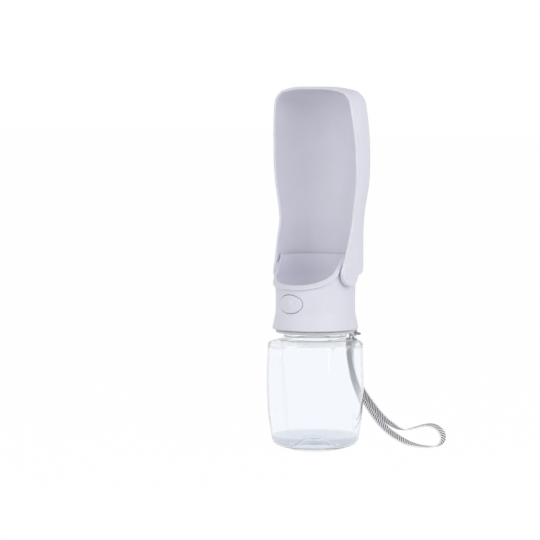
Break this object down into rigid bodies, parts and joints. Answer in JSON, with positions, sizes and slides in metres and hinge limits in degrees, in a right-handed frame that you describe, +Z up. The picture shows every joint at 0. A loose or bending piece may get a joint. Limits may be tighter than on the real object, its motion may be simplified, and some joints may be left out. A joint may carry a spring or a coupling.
{
  "type": "dog travel water bottle",
  "caption": "Clear bottle with a screw-on dispenser head, push-button valve, scooped basin, long fold-down drinking trough, loose strap ring and ribbed wrist strap.",
  "frame": {"origin": "centre of the base, in the plane that the bottle stands on", "axes": "+Z is up along the bottle, the hinge runs along X, and the button and the folded trough face -Y"},
  "size_m": [0.1119, 0.0989, 0.2643],
  "materials": {
    "clear_plastic": "clear blown plastic, high gloss",
    "lavender_plastic": "pale lavender grey moulded plastic, satin",
    "inner_plastic": "pale grey moulded plastic, satin",
    "ring_plastic": "frosted grey flexible plastic",
    "crimp_plastic": "dark grey moulded plastic",
    "cord": "thin twisted cord",
    "webbing": "ribbed woven webbing",
    "silicone": "soft silicone",
    "rubber": "black O-ring rubber",
    "steel": "bright spring and screw steel"
  },
  "bodies": {
    "bottle": {"bottle": "clear_plastic"},
    "strap": {"strap_ring": "ring_plastic", "strap_cord": "cord", "strap_crimp": "crimp_plastic", "strap_webbing": "webbing"},
    "seal": {"neck_seal": "silicone"},
    "head": {"inner_cap": "inner_plastic", "vent_valve": "silicone", "inlet_seal": "silicone", "valve_body": "inner_plastic", "valve_screws": "steel", "gland_retainer": "inner_plastic", "stem_seal": "rubber", "end_cap": "inner_plastic", "end_cap_seal": "rubber", "outlet_seal": "silicone", "head_shell": "lavender_plastic", "basin_floor": "lavender_plastic", "basin_gasket": "silicone", "valve_spring": "steel"},
    "button": {"button_cap": "lavender_plastic", "valve_stem": "inner_plastic", "poppet_seal": "silicone", "poppet_clip": "steel"},
    "trough": {"trough": "lavender_plastic"}
  },
  "joints": [
    {"name": "strap_ring_swivel", "type": "hinge", "parent": "bottle", "child": "strap", "pos_m": [0, 0, 0.086], "axis": [0, 0, 1], "range_deg": [-15, 75]},
    {"name": "head_lift", "type": "slide", "parent": "bottle", "child": "seal", "axis": [0, 0, 1], "range_m": [0, 0.003]},
    {"name": "head_turn", "type": "hinge", "parent": "seal", "child": "head", "pos_m": [0, 0, 0.09], "axis": [0, 0, 1], "range_deg": [0, 360]},
    {"name": "button_press", "type": "slide", "parent": "head", "child": "button", "axis": [0, 1, 0], "range_m": [0, 0.003], "stiffness_N_per_m": 1000, "springref_m": -0.003, "deforming": ["valve_spring"]},
    {"name": "trough_hinge", "type": "hinge", "parent": "head", "child": "trough", "pos_m": [0, 0, 0.1293], "axis": [1, 0, 0], "range_deg": [0, 180]}
  ],
  "couplings": [
    {"joint": "head_lift", "follows": "head_turn", "m_per_rad": 0.00047746}
  ]
}
